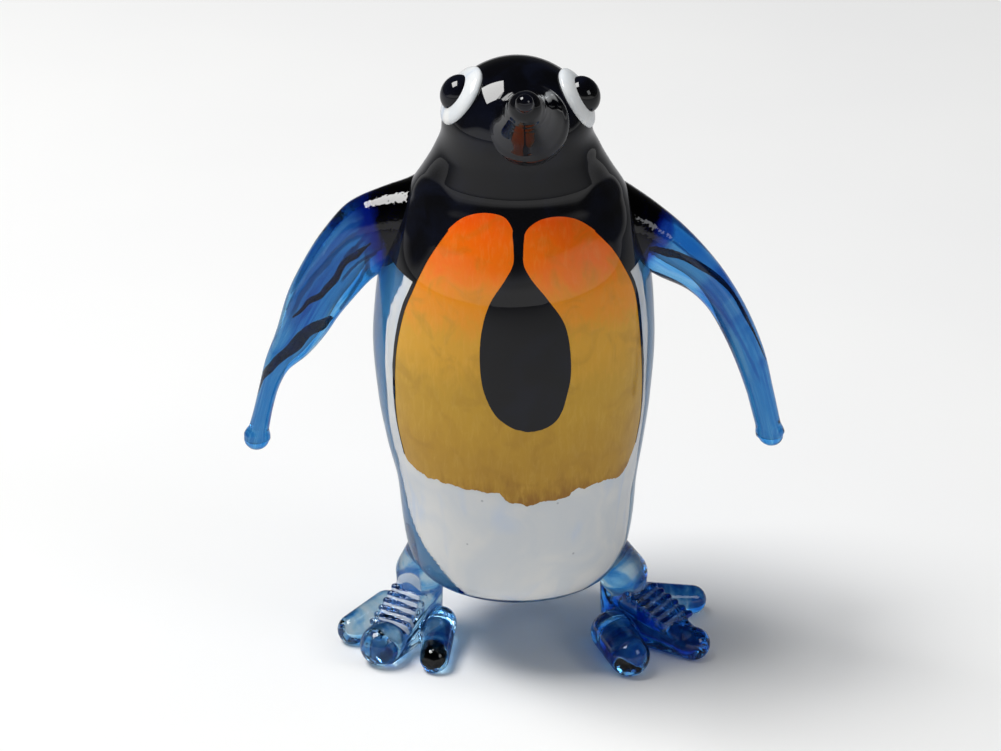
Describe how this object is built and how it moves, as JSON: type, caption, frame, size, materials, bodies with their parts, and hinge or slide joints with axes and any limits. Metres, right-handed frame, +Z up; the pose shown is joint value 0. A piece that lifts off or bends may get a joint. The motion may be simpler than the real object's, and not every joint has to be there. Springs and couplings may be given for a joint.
{
  "type": "penguin figurine",
  "caption": "Small solid glass penguin ornament with raised beak, spread flippers and ribbed feet that stands on a shelf or desk.",
  "frame": {"origin": "on the table, below the middle of the box that holds the figure", "axes": "+Z up; the penguin faces -Y; its own left side is +X"},
  "size_m": [0.0414, 0.0218, 0.0485],
  "materials": {
    "white_glass": "fire-polished opaque white",
    "orange_glass": "fire-polished streaky orange",
    "black_glass": "fire-polished opaque black",
    "blue_glass": "fire-polished clear cobalt blue"
  },
  "bodies": {
    "root": {"belly_core": "white_glass", "back_casing": "blue_glass", "collar": "black_glass", "head": "black_glass", "beak": "black_glass", "chest_lobe_left": "orange_glass", "chest_lobe_right": "orange_glass", "chest_drop": "black_glass", "side_line_left": "black_glass", "side_line_right": "black_glass", "eye_white_left": "white_glass", "eye_white_right": "white_glass", "eye_pupil_left": "black_glass", "eye_pupil_right": "black_glass", "flipper_left": "blue_glass", "flipper_right": "blue_glass", "stringer_upper_left": "black_glass", "stringer_lower_left": "black_glass", "stringer_upper_right": "black_glass", "stringer_lower_right": "black_glass", "leg_left": "blue_glass", "leg_right": "blue_glass", "foot_pad_left": "blue_glass", "foot_pad_right": "blue_glass", "toe_outer_left": "blue_glass", "toe_middle_left": "blue_glass", "toe_inner_left": "blue_glass", "toe_outer_right": "blue_glass", "toe_middle_right": "blue_glass", "toe_inner_right": "blue_glass", "tail": "blue_glass"}
  },
  "joints": []
}
